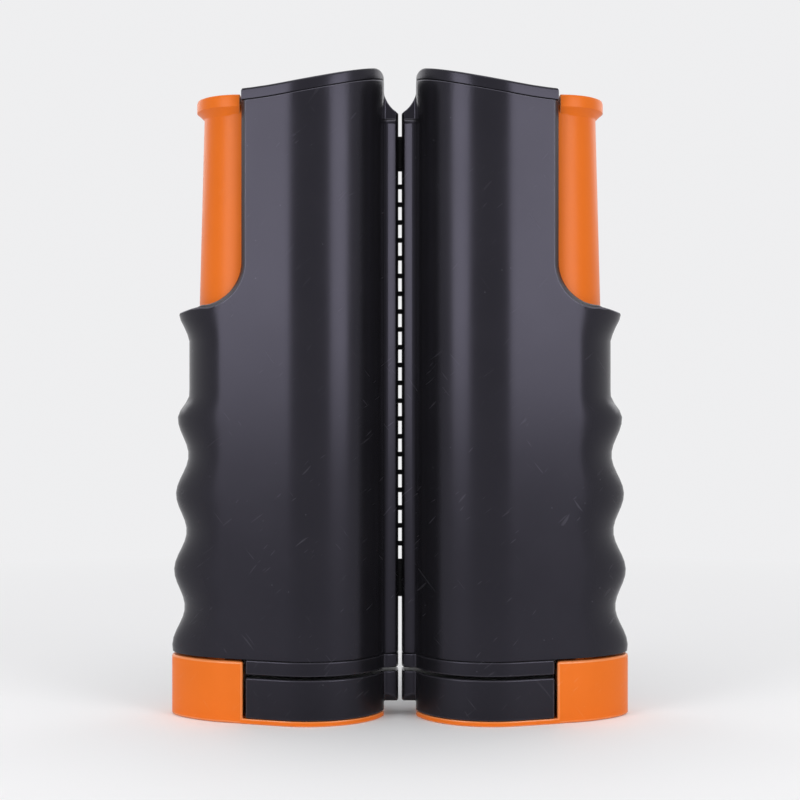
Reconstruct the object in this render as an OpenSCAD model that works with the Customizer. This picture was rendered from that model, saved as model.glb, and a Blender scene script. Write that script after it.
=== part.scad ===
// Retractable table tennis net: a pair of sprung clamp posts with the net between them.
// X runs along the net, Z is up, and the posts mirror each other about the slit at X = 0.
// Each post is drawn on the +X side, where u is the distance from the slit centre.

/* [Post] */
// Radius of the rounded body round the reel
body_r = 22; // [21:0.5:24]
// Distance from the slit centre to the rounded body
body_start = 4; // [3.5:0.25:6]
// Reach of the grip from the reel axis to its outer tip
grip_reach = 40.5; // [39:0.5:44]
// Angle at which the flanks run in towards the grip
flank_a = 18; // [14:0.5:20]
// Length of the rounded nose at the grip's tip
nose_len = 16.5; // [14:0.5:20]
// How full that nose is in plan, where 0.5 is an ellipse
nose_power = 0.5; // [0.42:0.01:0.55]
// Wall of the shells
wall = 1.8; // [1.4:0.1:2]
// Room from the net's top up to the outer end of the seam under the cap
head_room = 7.7; // [6.5:0.1:10]
// Reach of the upper shell edge from the reel axis
edge_reach = 18.8; // [18.4:0.1:19.4]
// Reach of the foot block's inner face from the reel axis
block_reach = 18.3; // [17.8:0.1:18.6]

/* [Top cap] */
// Thickness of the cap
cap_t = 3.3; // [2.8:0.1:4]
// Slope of the cap at its outer end
cap_slope = 0.04; // [0:0.01:0.08]
// How much further its curve lifts the cap at the net
cap_crown = 6.1; // [3:0.1:8]
// Radius of the cap's inner corner
cap_corner = 2.6; // [0.8:0.2:2.6]

/* [Grip] */
// Height of the hand guard above the foot of the shells
guard_h = 100.2; // [98:0.2:102]
// Radius of the hollow from the guard up to the upper edge
guard_fillet = 12; // [10:0.1:13]
// How far the guard's beak stands out from the grip
beak = 3.1; // [1.5:0.1:3.4]
// Height of the uppermost finger ridge above the foot of the shells
ridge_h = 67.9; // [66:0.1:72]
// Distance between finger ridges
ridge_pitch = 22; // [20:0.5:24]
// Depth of a finger hollow
ridge_depth = 3.4; // [2:0.1:3.8]
// How much further out the ridges stand per mm downwards
ridge_lean = 0.025; // [0.01:0.005:0.03]

/* [Net slot] */
// Gap between the lips of the two posts
lip_gap = 1; // [0.8:0.1:2]
// Gap between the posts at the front of the lips
lip_mouth = 2.4; // [2:0.1:3]
// Half of the lips' depth front to back
lip_half = 5.5; // [4.5:0.1:6]
// Width of the slot that the net runs in
slot_w = 1.6; // [1.4:0.1:2]
// Height of the rounded hollow at the top of the lips
notch_h = 5.9; // [4:0.1:6.5]
// How full that hollow is, where 2 is an ellipse
notch_power = 1.5; // [1.3:0.1:2]
// Depth of the hollow below the inner end of the shells
notch_drop = 8.8; // [7:0.1:10]

/* [Jaws] */
// Thickness of the foot plate
plate_t = 1.5; // [1.2:0.1:3]
// Height of the lower jaw pad above the plate
pad_h = 11.5; // [9:0.1:13]
// Gap between the closed jaws
jaw_gap = 0.9; // [0.6:0.1:2]
// Thickness of the fixed upper jaw
jaw_t = 4.2; // [4:0.1:6]
// How far the lower jaw opens
travel = 45; // [40:0.5:46]
// Height of the tongue at the net end of the lower jaw
tongue_h = 9; // [6:0.5:9]

/* [Push bar] */
// Clearance between the bar and the shell at its sides
bar_gap = 1.1; // [0.8:0.1:1.4]
// Wall of the bar
bar_wall = 2; // [1.6:0.1:2.2]
// How much the bar narrows from the guard up to the thumb lip
bar_draft = 1.6; // [1:0.1:2.4]
// How far the thumb lip stands out from the bar
thumb_lip = 2.2; // [1.5:0.1:2.6]
// Height of the thumb lip's upright face
thumb_h = 3.5; // [3:0.1:5]

/* [Return spring] */
// Wire of the return spring
wire_d = 0.9; // [0.7:0.1:1]
// Mean radius of the return spring
coil_r = 2.8; // [2.4:0.1:2.9]
// Number of coils in the return spring
coils = 13; // [8:1:16]
// Diameter of the guide rod inside the return spring
guide_d = 3; // [2:0.1:3.6]

/* [Net] */
// Height of the net
net_h = 134; // [124:0.5:150]
// Height of the net's lower edge above the foot of the shells
net_lift = 15.9; // [15:0.1:18]
// Thickness of the mesh
net_t = 0.5; // [0.3:0.05:0.7]
// Thickness of the hems
hem_t = 1; // [0.8:0.05:1.2]
// Height of the upper hem
top_hem = 9; // [6:0.5:12]
// Height of the lower hem
low_hem = 10.2; // [6:0.1:12]
// Distance between strands
mesh_pitch = 5.2; // [4.6:0.1:7]
// Width of a strand
strand = 1.4; // [0.8:0.1:1.8]
// Outer radius of the rolled-up net
roll_r = 16.5; // [15:0.1:16.8]

/* [Reel] */
// Outer radius of the reel tube
tube_r = 6.5; // [6:0.1:8]
// Wall of the reel tube
tube_wall = 2; // [1.5:0.1:2.5]
// Diameter of the fixed axle
axle_d = 4; // [3.5:0.1:5]
// Radial clearance of parts that turn or slide on a rod
run_gap = 0.05; // [0.03:0.01:0.1]
// Length of a bush
bush_h = 5; // [3:0.5:8]
// Thickness of the recoil spring's strip
strip_t = 0.35; // [0.25:0.05:0.5]
// Turns of the recoil spring
strip_turns = 7; // [4:1:9]
// Diameter of the rod that holds the net's end
rod_d = 3; // [2.5:0.1:3.5]
// Distance of that rod from the rounded body's start
rod_in = 11; // [10:0.5:16]

/* [Screws] */
// Diameter of the shell screws
screw_d = 2.5; // [2.2:0.1:2.8]
// Radius of a screw head
head_r = 2.3; // [2:0.1:2.4]
// Height of a screw head
head_h = 1.4; // [1:0.1:1.6]
// How far a shell screw bites into the front shell
bite = 8; // [5:0.5:9]

/* [Hidden] */

$fn = 64;
eps = 0.01;          // a hair's breadth, for pieces that run into each other
over = 1;            // overshoot of cuts
black = "#2b2a30";
jaw_black = "#222126";
orange = "#ee7a2c";
steel = "#b9bcc2";

// places along u
reel_u = body_start + body_r;
edge_u = reel_u + edge_reach;
block_u = reel_u + block_reach;
jaw_u = block_u - 0.85;                   // outer face of the jaws, clear of the foot block
tip_u = reel_u + grip_reach;
lip_u = lip_gap / 2;
mouth_u = lip_mouth / 2;
neck_u = body_start + 0.7;               // where the lips meet the rounded body
boss_r = 2.6;                            // screw bosses of the front shell
seat_r = 3.2;                            // screw bosses of the rear shell
ring_r = roll_r + 0.5;                   // flange of the reel
boss_u = reel_u + roll_r + seat_r + 0.4; // bosses between the net roll and the bar
inner_boss_u = body_start + 3.6;
drum_r = reel_u - inner_boss_u - seat_r - 0.2;
narrow_u = boss_u + seat_r + 0.5;        // inner edge of the bar's hidden lower half
spring_u = boss_u + seat_r + 0.3 + coil_r + wire_d / 2;

// heights
pad_top = plate_t + pad_h;
jaw_z = pad_top + jaw_gap;
foot_z = jaw_z + jaw_t;                  // foot of the shells
guard_z = foot_z + guard_h;
ridge_z = foot_z + ridge_h;
relief_h = 7;                            // height over which the last ridge runs out
net_z = foot_z + net_lift;
net_top = net_z + net_h;
seam_z = net_top + head_room;            // outer end of the seam under the cap
bar_foot_z = foot_z - 0.6;
wide_z = guard_z - 4.7;                  // the bar is wide enough to show from here up
bracket_z = foot_z + 13.1;
bracket_t = 4;
shelf_t = 3;
rod_proud = 4;                           // guide rod above the bar's shelf
socket_depth = 3;
socket_wall = 2;                         // round the ends of the axle and of the net rod
cap_boss_z = net_top + 4;                 // lower ends of the sockets under the cap
thumb_z = seam_z + 2.2;                  // top of the thumb lip
bar_top_z = seam_z - 0.5;                // top of the bar under the cap

// outlines in plan
nose_u = tip_u - nose_len;
nose_steps = 12;
function flank_u(inset) = reel_u + (body_r - inset) * sin(flank_a);
function flank(u, inset) = (body_r - inset - (u - reel_u) * sin(flank_a)) / cos(flank_a);
function half_at(u, inset = 0) =
  u < flank_u(inset) ? sqrt(pow(body_r - inset, 2) - pow(u - reel_u, 2))
  : u < nose_u ? flank(u, inset)
  : flank(u, inset) * pow(1 - pow((u - nose_u) / (nose_len - inset), 2), nose_power);
function nose(inset) = concat(
  [[flank_u(inset), flank(flank_u(inset), inset)]],
  [for (i = [0:nose_steps])
    let (a = 90 * i / nose_steps, u = nose_u + (nose_len - inset) * sin(a))
    [u, flank(u, inset) * pow(cos(a), 2 * nose_power)]]);
function mirrored(points) = concat(
  points, [for (i = [len(points) - 1:-1:0]) if (points[i].y > eps) [points[i].x, -points[i].y]]);

// outlines seen from the front
function ridge_u(z) = tip_u - (z - foot_z) * ridge_lean;
function grip_u(z) = ridge_u(min(z, ridge_z)) - ridge_depth / 2 * (1 - cos(
  z < ridge_z ? 360 * (z - ridge_z) / ridge_pitch : 180 * min(1, (z - ridge_z) / relief_h)));
function seam(u) = let (in = edge_u - u) seam_z + cap_slope * in + cap_crown * pow(in / (edge_u - neck_u), 2);
plain_u = grip_u(ridge_z + relief_h);    // the straight stretch above the ridges
beak_z = guard_z - 3;
beak_round = 1.3;
grip_steps = 36;
grip_top = beak_z - 7;                    // where the grip runs out into the beak
guard_end = 3.5;                         // level stretch of the guard, inside the grip
arc_steps = 8;
seam_steps = 8;
neck_bottom = seam(neck_u) - notch_drop;

function grip_line(inset) = [for (i = [0:grip_steps])
  let (z = foot_z + (grip_top - foot_z) * i / grip_steps) [grip_u(z) - inset, z]];
function beak_line(inset) = [
  [plain_u + beak - inset, beak_z - inset / 2],
  [plain_u + beak - beak_round - inset, beak_z + beak_round - inset],
  [plain_u - guard_end, guard_z - 0.5 - inset]];
function fillet_line(inset) = [for (i = [0:arc_steps])
  let (a = 270 - 90 * i / arc_steps, r = guard_fillet + inset)
  [edge_u + guard_fillet + r * cos(a), guard_z + guard_fillet + r * sin(a)]];
function seam_line(from, to, lift) = [for (i = [0:seam_steps])
  let (u = from + (to - from) * i / seam_steps) [u, seam(u) + lift]];
function notch_line() = [for (i = [0:arc_steps])
  let (a = 90 * i / arc_steps) [
    lip_u + (neck_u - lip_u) * pow(cos(a), 2 / notch_power),
    neck_bottom + notch_h * (1 - pow(sin(a), 2 / notch_power))]];

// bar
bar_tip = plain_u - wall - bar_gap;
bar_half = half_at(edge_u, wall) - bar_gap;
bar_steps = 12;
bar_base = edge_u - 0.3;                 // where its sides start to curve in
function bar_arc(tip, half, base, from) = [for (i = [0:bar_steps])
  let (start = asin((from - base) / (tip - base)), a = start + (90 - start) * i / bar_steps)
  [base + (tip - base) * sin(a), half * cos(a)]];
function bar_plan(tip, half, from) = mirrored(concat([[from, half]], bar_arc(tip, half, bar_base, bar_base)));
function thumb_plan(tip, half) = mirrored(bar_arc(tip, half, thumb_u, thumb_u));
thumb_u = edge_u + 0.6;                  // inner face of the thumb lip, clear of the cap
side_u = edge_u - 0.8;                   // inner edge of the bar's side walls

// screws that hold the shells together, as [u, z]
inner_screw_z = [foot_z + 7.4, net_top + 6];
cap_screw = [edge_u - 4.8, net_top + 4.4];
press_room = 2.5;                        // left under the pressed bar
screw_at = [
  [inner_boss_u, inner_screw_z[0]], [inner_boss_u, inner_screw_z[1]], cap_screw,
  [boss_u, bracket_z - seat_r], [boss_u, wide_z - travel - seat_r - press_room]];
pilot_gap = 0.03;
pocket_r = head_r + 0.1;
function seat_y(u) = half_at(u < reel_u ? u - pocket_r : u + pocket_r) - head_h - 0.2;
jaw_screw_reach = 10;
jaw_screw_u = [reel_u - jaw_screw_reach, reel_u + jaw_screw_reach];
head_sink = 0.3;                         // the jaw screws' heads below the plate's underside
jaw_cover = 2;                           // left of the pad above a jaw screw's hole
raised_t = 2.5;                          // the plate's raised middle, inside the pad
raised_in = 3;

rim_h = 3;
rim_t = 1.25;
rim_gap = 0.15;
rim_reach = [12, 8];                     // the cap's rim runs this far in and out, clear of the screws
rim_in = reel_u - rim_reach[0];
rim_out = reel_u + rim_reach[1];

module side(s) {
  if (s > 0) children();
  else mirror([1, 0, 0]) children();
}

// sweeps an outline of [u, z] points front to back
module front_sweep(points, depth = 2 * body_r + 2 * over) {
  rotate([90, 0, 0]) linear_extrude(depth, center = true) polygon(points);
}

module between(z0, z1) {
  translate([0, 0, z0]) linear_extrude(z1 - z0) children();
}

module rod(d, z0, z1) {
  translate([0, 0, z0]) cylinder(d = d, h = z1 - z0);
}

module body_plan(inset = 0) {
  intersection() {
    translate([reel_u, 0]) circle(r = body_r - inset, $fn = 80);
    translate([reel_u - body_r, -body_r]) square([body_r - reel_u + flank_u(inset), 2 * body_r]);
  }
  polygon(mirrored(nose(inset)));
}

module lip_plan() {
  polygon(mirrored([[lip_u, lip_half - 3.5], [mouth_u, lip_half], [body_start + 4, lip_half]]));
}

// the whole post in plan, with the lips that hold the net
module post_plan() {
  body_plan();
  lip_plan();
}

module plan_to(u, from = 0) {
  intersection() {
    children();
    translate([from, -body_r - over]) square([u - from, 2 * (body_r + over)]);
  }
}

// the rim that centres the cap and the upper jaw inside the shells
module rim_plan() {
  difference() {
    body_plan(wall + rim_gap);
    body_plan(wall + rim_gap + rim_t);
  }
}

module shell_outline() {
  front_sweep(concat(
    grip_line(0), beak_line(0), fillet_line(0), seam_line(edge_u, neck_u, 0), notch_line(),
    [[lip_u, foot_z]]));
}

module shell_cavity() {
  intersection() {
    between(foot_z - over, seam(0) + over) body_plan(wall);
    union() {
      front_sweep(concat(
        [[0, foot_z - over], [grip_u(foot_z) - wall, foot_z - over]],
        grip_line(wall), beak_line(wall), fillet_line(wall), [[0, guard_z + guard_fillet]]));
      front_sweep([
        [0, guard_z + guard_fillet - eps], [tip_u, guard_z + guard_fillet - eps],
        [tip_u, seam(0) + over], [0, seam(0) + over]]);
    }
  }
}

module along_y(u, z, r, y0, y1) {
  translate([u, y0, z]) rotate([-90, 0, 0]) cylinder(r = r, h = y1 - y0);
}

module shell_bosses() {
  intersection() {
    union() {
      for (p = screw_at) {
        along_y(p.x, p.y, boss_r, -body_r, 0);
        along_y(p.x, p.y, seat_r, 0, body_r);
      }
    }
    between(foot_z, seam(0)) body_plan(wall / 2);
  }
}

module shell_holes() {
  for (p = screw_at) {
    along_y(p.x, p.y, screw_d / 2 + pilot_gap, -bite - 1, 0);
    along_y(p.x, p.y, screw_d / 2 + 0.2, 0, body_r);
    along_y(p.x, p.y, pocket_r, seat_y(p.x), body_r + over);
  }
}

// front and rear shells are cut from one form along the seam at Y = 0
module shell(front) {
  y0 = front ? -body_r - over : 0;
  color(black) intersection() {
    difference() {
      union() {
        difference() {
          intersection() {
            between(foot_z, seam(0) + over) post_plan();
            shell_outline();
          }
          shell_cavity();
          between(wide_z - over, seam_z + over)
            polygon(bar_plan(bar_tip + bar_gap / 2, bar_half + bar_gap / 2, side_u - bar_gap / 2));
        }
        shell_bosses();
      }
      shell_holes();
      translate([-over, -slot_w / 2, net_z - 4]) cube([reel_u, slot_w, net_h + 8]);
    }
    translate([0, y0, 0]) cube([tip_u + over, body_r + over, seam(0) + over]);
  }
}

module top_cap(rod_u, d) {
  corner = [neck_u + cap_corner, seam(neck_u) + cap_t - cap_corner];
  color(black) {
    intersection() {
      between(seam_z, seam(0) + 2 * cap_t) body_plan();
      front_sweep(concat(
        seam_line(neck_u, edge_u, 0), seam_line(edge_u, neck_u + cap_corner, cap_t),
        [for (i = [0:arc_steps]) let (a = 90 + 90 * i / arc_steps) corner + cap_corner * [cos(a), sin(a)]]));
    }
    intersection() {
      between(seam_z - rim_h, seam(0)) rim_plan();
      front_sweep(concat(
        [[rim_in, seam_z - rim_h], [rim_out, seam_z - rim_h]], seam_line(rim_out, rim_in, eps)));
    }
    difference() {
      intersection() {
        translate([rod_u, 0, 0]) rod(d + 2 * socket_wall, cap_boss_z, seam(0));
        front_sweep(concat([[0, cap_boss_z], [edge_u, cap_boss_z]], seam_line(edge_u, 0, eps)));
      }
      translate([rod_u, 0, 0]) rod(d, cap_boss_z - over, cap_boss_z + socket_depth);
    }
  }
}

module upper_jaw(rod_u, d) {
  color(jaw_black) difference() {
    union() {
      between(jaw_z, foot_z) plan_to(jaw_u) post_plan();
      between(foot_z - eps, foot_z + rim_h) plan_to(jaw_u - 1) rim_plan();
      translate([rod_u, 0, 0]) rod(d + 2 * socket_wall, foot_z - eps, foot_z + 1.2);
    }
    translate([rod_u, 0, 0]) rod(d, foot_z - socket_depth, foot_z + 2);
  }
}

// closed solid through convex outlines of equal count, each given as [height, points]
module skin(rings) {
  n = len(rings[0][1]);
  last = n * (len(rings) - 1);
  points = [for (ring = rings) for (p = ring[1]) [p.x, p.y, ring[0]]];
  walls = [for (i = [0:len(rings) - 2]) for (k = [0:n - 1])
    let (p = i * n + k, q = i * n + (k + 1) % n)
    each [[q, q + n, p + n], [q, p + n, p]]];
  ends = [for (k = [1:n - 2]) each [[0, k + 1, k], [last, last + k, last + k + 1]]];
  polyhedron(points, concat(walls, ends));
}

// thumb lip, exposed bar, hidden lower half, foot block and foot plate in one moulding
module push_bar() {
  top_tip = bar_tip - bar_draft;
  lip_z = thumb_z - thumb_h;
  color(orange) difference() {
    union() {
      difference() {
        skin([
          [wide_z, bar_plan(bar_tip, bar_half, side_u)], [bar_top_z, bar_plan(top_tip, bar_half, side_u)]]);
        between(wide_z + shelf_t, bar_top_z - bar_wall)
          polygon(bar_plan(top_tip - bar_wall, bar_half - bar_wall, side_u - over));
      }
      skin([
        [lip_z - thumb_lip, thumb_plan(top_tip - 0.3, bar_half - 0.3)],
        [lip_z, thumb_plan(top_tip + thumb_lip, bar_half)],
        [thumb_z - 1, thumb_plan(top_tip + thumb_lip, bar_half)],
        [thumb_z, thumb_plan(top_tip + thumb_lip - 1, bar_half - 1)]]);
      between(bar_foot_z - 1, wide_z + 1) difference() {
        polygon(mirrored(bar_arc(bar_tip - 0.1, bar_half - 0.1, bar_base, narrow_u)));
        polygon(mirrored(bar_arc(bar_tip - bar_wall, bar_half - bar_wall, bar_base, narrow_u - over)));
      }
      between(0, bar_foot_z) plan_to(tip_u + over, block_u) body_plan();
      between(0, plate_t) plan_to(block_u, neck_u) body_plan();
      between(plate_t, plate_t + raised_t) plan_to(block_u, neck_u + raised_in) body_plan(raised_in);
    }
    translate([spring_u, 0, 0]) rod(guide_d + 4 * run_gap, wide_z - over, wide_z + shelf_t + over);
    for (u = jaw_screw_u) translate([u, 0, 0]) {
      rod(screw_d + 0.4, -over, plate_t + raised_t + over);
      rod(2 * pocket_r, -over, head_h + head_sink);
    }
  }
}

// reaches from the lower jaw to the slit, with its lower edges bevelled front and back
module tongue() {
  bevel = 2.4;
  low = pad_top - tongue_h;
  half = lip_half + eps;
  intersection() {
    between(low, pad_top) plan_to(neck_u + 1) post_plan();
    rotate([90, 0, 90]) linear_extrude(neck_u + 1) polygon([
      [-half, pad_top], [-half, low + bevel], [bevel - half, low],
      [half - bevel, low], [half, low + bevel], [half, pad_top]]);
  }
}

module lower_jaw() {
  fit = 0.1;
  color(jaw_black) difference() {
    union() {
      between(plate_t, pad_top) plan_to(jaw_u, neck_u) body_plan();
      tongue();
    }
    between(plate_t - over, plate_t + raised_t + fit)
      plan_to(jaw_u + over, neck_u + raised_in - fit) body_plan(raised_in - fit);
    for (u = jaw_screw_u) translate([u, 0, 0]) rod(screw_d + 2 * pilot_gap, 0, pad_top - jaw_cover);
  }
}

module shell_screws() {
  color(steel) for (p = screw_at) {
    along_y(p.x, p.y, screw_d / 2, -bite, seat_y(p.x) + eps);
    along_y(p.x, p.y, head_r, seat_y(p.x), seat_y(p.x) + head_h);
  }
}

module jaw_screws() {
  color(steel) for (u = jaw_screw_u) translate([u, 0, 0]) {
    rod(screw_d, head_sink + head_h - eps, pad_top - jaw_cover - 1);
    rod(2 * head_r, head_sink, head_sink + head_h);
  }
}

// wire that winds round the Z axis, 8 rings a coil and 6 sides a ring
module coil(r, wire_r, z0, z1, turns) {
  rings = 8;
  sides = 6;
  n = rings * turns;
  points = [for (i = [0:n]) for (k = [0:sides - 1])
    let (a = 360 * i / rings, b = 360 * k / sides, d = r + wire_r * cos(b))
    [d * cos(a), d * sin(a), z0 + (z1 - z0) * i / n + wire_r * sin(b)]];
  walls = [for (i = [0:n - 1]) for (k = [0:sides - 1])
    let (p = i * sides + k, q = i * sides + (k + 1) % sides)
    each [[p, p + sides, q + sides], [p, q + sides, q]]];
  ends = [for (k = [1:sides - 2]) each [[0, k, k + 1], [n * sides, n * sides + k + 1, n * sides + k]]];
  polyhedron(points, concat(walls, ends));
}

module return_spring() {
  low = bracket_z + bracket_t + wire_d / 2 + run_gap;
  high = wide_z - wire_d / 2 - run_gap;
  color(steel) translate([spring_u, 0, 0]) coil(coil_r, wire_d / 2, low, high, coils);
}

module guide_rod() {
  color(steel) translate([spring_u, 0, 0]) rod(guide_d, bracket_z, wide_z + shelf_t + rod_proud);
}

// cross bar clamped between the shells, with the arm that the return spring stands on
module spring_bracket() {
  cross_u = reel_u + ring_r + 0.8;
  arm = 2 * coil_r + wire_d + 0.2;
  color(black) difference() {
    union() {
      intersection() {
        between(bracket_z, bracket_z + bracket_t) body_plan(wall + run_gap);
        translate([cross_u, -body_r, bracket_z]) cube([narrow_u - 0.5 - cross_u, 2 * body_r, bracket_t]);
      }
      translate([cross_u, -arm / 2, bracket_z])
        cube([spring_u + coil_r - cross_u, arm, bracket_t]);
    }
    translate([spring_u, 0, 0]) rod(guide_d, bracket_z - over, bracket_z + bracket_t + over);
  }
}

flange_t = 1.5;
reel_z = net_z - flange_t - 0.5;
reel_top = net_top + 2;
drum_wall = 1.2;
drum_top = reel_z - 0.8;
hub_z = foot_z + 2 * drum_wall + 0.2;
hub_r = tube_r - 1.3;                    // the reel's lower end, where the recoil spring is fixed
hub_gap = 0.6;                           // between the hub and the axle, across both sides
strip_gap = 0.2;                         // from the strip to the hub and to the drum

module on_reel() {
  translate([reel_u, 0, 0]) children();
}

module reel_axle() {
  color(steel) on_reel() rod(axle_d, foot_z - socket_depth, cap_boss_z + socket_depth);
}

module reel_tube() {
  color("#5b5c63") on_reel() difference() {
    union() {
      rod(2 * tube_r, reel_z, reel_top);
      rod(2 * ring_r, reel_z, reel_z + flange_t);
      rod(2 * hub_r, hub_z, reel_z + eps);
    }
    rod(2 * (tube_r - tube_wall), reel_z, reel_top + over);
    rod(axle_d + hub_gap, hub_z - over, reel_z + over);
  }
}

module reel_bush(z) {
  color("#d8d4c8") on_reel() difference() {
    rod(2 * (tube_r - tube_wall), z, z + bush_h);
    rod(axle_d + 2 * run_gap, z - over, z + bush_h + over);
  }
}

module net_roll() {
  color("#1d1c20") on_reel() difference() {
    rod(2 * roll_r, net_z, net_top);
    rod(2 * tube_r, net_z - over, net_top + over);
  }
}

module spring_drum() {
  color(black) on_reel() difference() {
    rod(2 * drum_r, foot_z, drum_top);
    rod(2 * (drum_r - drum_wall), foot_z + drum_wall, drum_top + over);
    rod(axle_d + 2 * socket_wall + 0.2, foot_z - over, foot_z + 2 * drum_wall);
  }
}

// flat strip that winds from the hub out to the drum
module recoil_spring() {
  steps = 16 * strip_turns;
  r0 = hub_r + strip_gap;
  r1 = drum_r - drum_wall - strip_t - strip_gap;
  function at(i, d) = let (a = 360 * i / 16, r = r0 + (r1 - r0) * i / steps + d) [r * cos(a), r * sin(a)];
  color(steel) on_reel() between(hub_z, drum_top - strip_gap)
    polygon(concat([for (i = [0:steps]) at(i, 0)], [for (i = [steps:-1:0]) at(i, strip_t)]));
}

rod_u = body_start + rod_in;
sleeve_r = rod_d / 2 + 0.1;

module net_rod() {
  color(steel) translate([rod_u, 0, 0]) rod(rod_d, foot_z - socket_depth, cap_boss_z + socket_depth);
}

module ribbon(p, q, t) {
  run = q - p;
  translate(p) rotate(atan2(run.y, run.x)) translate([0, -t / 2]) square([norm(run), t]);
}

// the net's way in plan, in X and Y: off the roll, through both slots and round the net rod
module net_plan(t) {
  turn = [-(reel_u - body_r + wall + 0.8), 0];
  clear_r = roll_r + t / 2 + 0.1;
  a = acos(clear_r / (reel_u + turn.x));
  leave = [-reel_u, 0] + clear_r * [cos(a), sin(a)];
  difference() {
    union() {
      ribbon(leave, turn, t);
      translate(turn) circle(d = t);
      ribbon(turn, [rod_u, 0], t);
      translate([rod_u, 0]) circle(r = sleeve_r + net_t);
    }
    translate([rod_u, 0]) circle(r = sleeve_r);
  }
}

module net_span() {
  mesh_z = net_z + low_hem;
  rows = floor((net_h - low_hem - top_hem) / mesh_pitch);
  gap = mesh_pitch - strand;
  color("#1d1c20") difference() {
    union() {
      between(net_z, net_top) net_plan(net_t);
      between(net_z, mesh_z) net_plan(hem_t);
      between(net_top - top_hem, net_top) net_plan(hem_t);
    }
    for (col = [-1:1], row = [0:rows - 1])
      translate([mesh_pitch * col - gap / 2, -net_t, mesh_z + mesh_pitch * (row + 0.5) - gap / 2])
        cube([gap, 2 * net_t, gap]);
  }
}

side(-1) shell(true);  // left_front_shell
side(-1) shell(false);  // left_rear_shell
side(-1) top_cap(reel_u, axle_d);  // left_top_cap
side(-1) upper_jaw(reel_u, axle_d);  // left_upper_jaw
side(-1) push_bar();  // left_push_bar
side(-1) lower_jaw();  // left_lower_jaw
side(-1) return_spring();  // left_return_spring
side(-1) guide_rod();  // left_guide_rod
side(-1) spring_bracket();  // left_spring_bracket
side(-1) shell_screws();  // left_shell_screws
side(-1) jaw_screws();  // left_jaw_screws
side(1) shell(true);  // right_front_shell
side(1) shell(false);  // right_rear_shell
side(1) top_cap(rod_u, rod_d);  // right_top_cap
side(1) upper_jaw(rod_u, rod_d);  // right_upper_jaw
side(1) push_bar();  // right_push_bar
side(1) lower_jaw();  // right_lower_jaw
side(1) return_spring();  // right_return_spring
side(1) guide_rod();  // right_guide_rod
side(1) spring_bracket();  // right_spring_bracket
side(1) shell_screws();  // right_shell_screws
side(1) jaw_screws();  // right_jaw_screws
side(-1) reel_axle();
side(-1) reel_tube();
side(-1) reel_bush(reel_top - bush_h);  // reel_bush_top
side(-1) reel_bush(reel_z);  // reel_bush_bottom
side(-1) net_roll();
side(-1) spring_drum();
side(-1) recoil_spring();
net_rod();
net_span();
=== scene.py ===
import bpy
import math
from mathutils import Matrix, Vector


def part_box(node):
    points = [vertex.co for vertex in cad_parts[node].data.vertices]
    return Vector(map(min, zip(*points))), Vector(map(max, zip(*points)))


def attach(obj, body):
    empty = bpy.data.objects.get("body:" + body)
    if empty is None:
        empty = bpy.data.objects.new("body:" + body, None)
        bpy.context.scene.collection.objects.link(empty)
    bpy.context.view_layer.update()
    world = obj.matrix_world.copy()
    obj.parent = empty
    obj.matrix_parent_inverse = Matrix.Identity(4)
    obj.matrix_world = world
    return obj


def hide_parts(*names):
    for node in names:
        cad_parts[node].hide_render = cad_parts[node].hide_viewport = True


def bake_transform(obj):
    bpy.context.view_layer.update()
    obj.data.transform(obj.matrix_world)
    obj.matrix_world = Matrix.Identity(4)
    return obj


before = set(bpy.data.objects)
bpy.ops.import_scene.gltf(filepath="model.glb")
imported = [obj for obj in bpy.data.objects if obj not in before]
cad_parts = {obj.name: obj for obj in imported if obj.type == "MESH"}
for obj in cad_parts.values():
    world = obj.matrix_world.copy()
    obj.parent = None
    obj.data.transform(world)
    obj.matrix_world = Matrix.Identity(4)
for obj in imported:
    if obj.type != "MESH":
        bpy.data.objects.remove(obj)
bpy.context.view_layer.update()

mm = 0.001                    # every length below is in mm, and is made metres with this


def cadBoxOf(node):
    low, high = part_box(node)
    return low / mm, high / mm


shellLow, shellHigh = cadBoxOf("right_front_shell")
stripHigh = cadBoxOf("right_upper_jaw")[1]
padLow, padHigh = cadBoxOf("right_lower_jaw")
barHigh = cadBoxOf("right_push_bar")[1]
capHigh = cadBoxOf("right_top_cap")[1]
rollLow, rollHigh = cadBoxOf("net_roll")
axleLow, axleHigh = cadBoxOf("reel_axle")
springLow, springHigh = cadBoxOf("right_return_spring")
recoilLow, recoilHigh = cadBoxOf("recoil_spring")

# the right-hand post, with x outward from the slit between the posts
post = {
    "reel": -(axleLow.x + axleHigh.x) / 2,
    "radius": 22,
    "flank": math.radians(18),
    "noseLength": 16.5,
    "tip": barHigh.x,
    "edge": capHigh.x,        # outer edge of the cap and of the shells below it
    "jaw": stripHigh.x,       # outer face of the jaws
    "block": stripHigh.x + 0.85,
    "neck": padLow.x + 4.2,   # where the lips run into the barrel
    "lip": padLow.x,
    "foot": shellLow.z,
    "wall": 1.8,
    "rounding": 0.3,
    "parting": 0.03,          # each shell stops this short of the plane where they meet
    "seamSlope": 0.04,
    "seamCrown": 6.1,
    "notchHigh": 5.9,
    "notchPower": 1.5,
    "notchDrop": 8.8,
}
post["seam"] = shellHigh.z - post["seamSlope"] * (post["edge"] - post["neck"]) - post["seamCrown"]
noseStart = post["tip"] - post["noseLength"]


def makeActive(piece):
    if bpy.context.object and bpy.context.object.mode != "OBJECT":
        bpy.ops.object.mode_set(mode="OBJECT")
    bpy.ops.object.select_all(action="DESELECT")
    piece.select_set(True)
    bpy.context.view_layer.objects.active = piece


def edit(piece, mode="VERT"):
    makeActive(piece)
    bpy.ops.object.mode_set(mode="EDIT")
    bpy.ops.mesh.select_mode(type=mode)


def leaveEdit():
    bpy.ops.object.mode_set(mode="OBJECT")


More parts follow.
